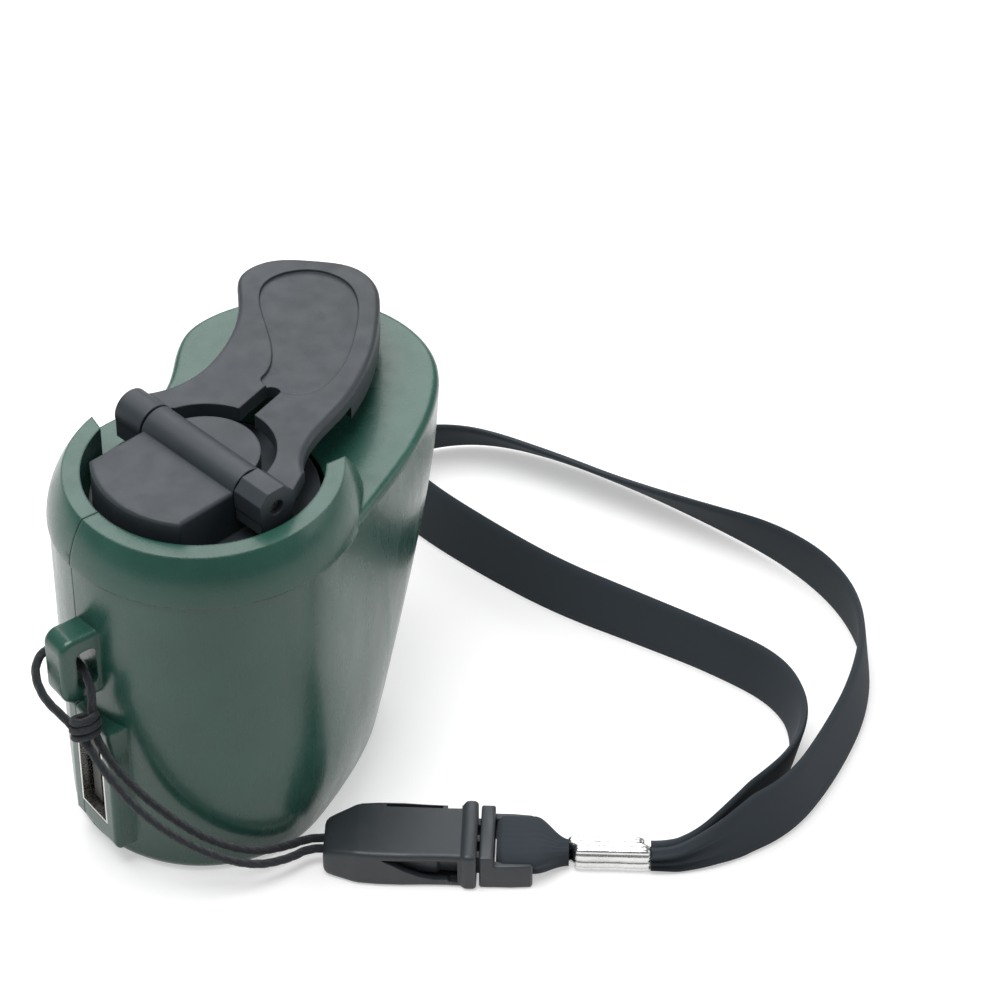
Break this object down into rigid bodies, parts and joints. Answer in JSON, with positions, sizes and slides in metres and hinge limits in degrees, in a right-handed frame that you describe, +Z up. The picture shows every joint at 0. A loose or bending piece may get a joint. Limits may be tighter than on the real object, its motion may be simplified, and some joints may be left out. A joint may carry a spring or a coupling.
{
  "type": "hand crank generator",
  "caption": "Pocket hand crank generator with a folding crank handle, gear train, motor, power socket and a wrist lanyard on a side-release buckle.",
  "frame": {"origin": "on the crank's axis, at the flat base of the casing", "axes": "+Z up along the crank's axis, away from the base; -X towards the nose with the power socket and the strap lug, so +X is along the casing towards its lobe"},
  "size_m": [0.1071, 0.0888, 0.0529],
  "materials": {
    "case_green": "dark green moulded plastic, glossy",
    "crank_charcoal": "dark charcoal moulded plastic, satin",
    "zinc_steel": "zinc plated steel",
    "pin_steel": "ground steel",
    "plate_steel": "stamped steel sheet",
    "gear_white": "natural acetal",
    "gear_brass": "turned brass",
    "cap_black": "black moulded plastic",
    "board_green": "solder mask on glass-fibre board",
    "socket_nickel": "nickel plated steel sheet",
    "tongue_black": "black moulded plastic",
    "contact_gold": "gold plated contacts",
    "buckle_black": "black moulded plastic, satin",
    "strap_fabric": "woven polyester webbing",
    "cord_black": "twisted polyester cord",
    "ferrule_bright": "bright nickel plated crimp"
  },
  "bodies": {
    "housing": {"front_shell": "case_green", "rear_shell": "case_green", "case_screws": "zinc_steel", "bearing_plate": "plate_steel", "carrier_plate": "plate_steel", "plate_screws": "zinc_steel", "idler_axles": "pin_steel", "spindle_bushes": "gear_brass", "motor_can": "plate_steel", "motor_cap": "cap_black", "motor_screws": "zinc_steel", "circuit_board": "board_green", "power_socket_shell": "socket_nickel", "power_socket_tongue": "tongue_black", "power_socket_contacts": "contact_gold", "capacitor": "cap_black", "diodes": "cap_black", "regulator": "cap_black", "board_screws": "zinc_steel", "lanyard_cord": "cord_black", "cord_hitch": "cord_black", "buckle_socket": "buckle_black"},
    "crank": {"crank_drum": "crank_charcoal", "hinge_pin": "pin_steel", "drive_spindle": "pin_steel", "spindle_clip": "pin_steel", "drive_gear": "gear_white"},
    "handle": {"crank_handle": "crank_charcoal"},
    "first_idler": {"first_idler_gear": "gear_white"},
    "second_idler": {"second_idler_gear": "gear_white"},
    "rotor": {"rotor_shaft": "pin_steel", "rotor_pinion": "gear_brass"},
    "buckle_half": {"buckle_plug": "buckle_black", "webbing_tail": "strap_fabric", "crimp_ferrule": "ferrule_bright", "strap_webbing": "strap_fabric"}
  },
  "joints": [
    {"name": "crank_spin", "type": "hinge", "parent": "housing", "child": "crank", "pos_m": [0, 0, 0.03], "axis": [0, 0, 1], "continuous": true},
    {"name": "handle_fold", "type": "hinge", "parent": "crank", "child": "handle", "pos_m": [0, 0, 0.0504], "axis": [0.1392, -0.9903, 0], "range_deg": [0, 150]},
    {"name": "first_idler_spin", "type": "hinge", "parent": "housing", "child": "first_idler", "pos_m": [0.01598, 0.00912, 0.03], "axis": [0, 0, 1], "continuous": true},
    {"name": "second_idler_spin", "type": "hinge", "parent": "housing", "child": "second_idler", "pos_m": [0.00497, -0.00249, 0.03], "axis": [0, 0, 1], "continuous": true},
    {"name": "rotor_spin", "type": "hinge", "parent": "housing", "child": "rotor", "pos_m": [0.01293, 0.00727, 0.03], "axis": [0, 0, 1], "continuous": true},
    {"name": "buckle_release", "type": "slide", "parent": "housing", "child": "buckle_half", "axis": [0.7869, -0.617, 0], "range_m": [0, 0.02]}
  ],
  "couplings": [
    {"joint": "first_idler_spin", "follows": "crank_spin", "ratio": -3.6},
    {"joint": "second_idler_spin", "follows": "crank_spin", "ratio": 10.8},
    {"joint": "rotor_spin", "follows": "crank_spin", "ratio": -34.56}
  ]
}
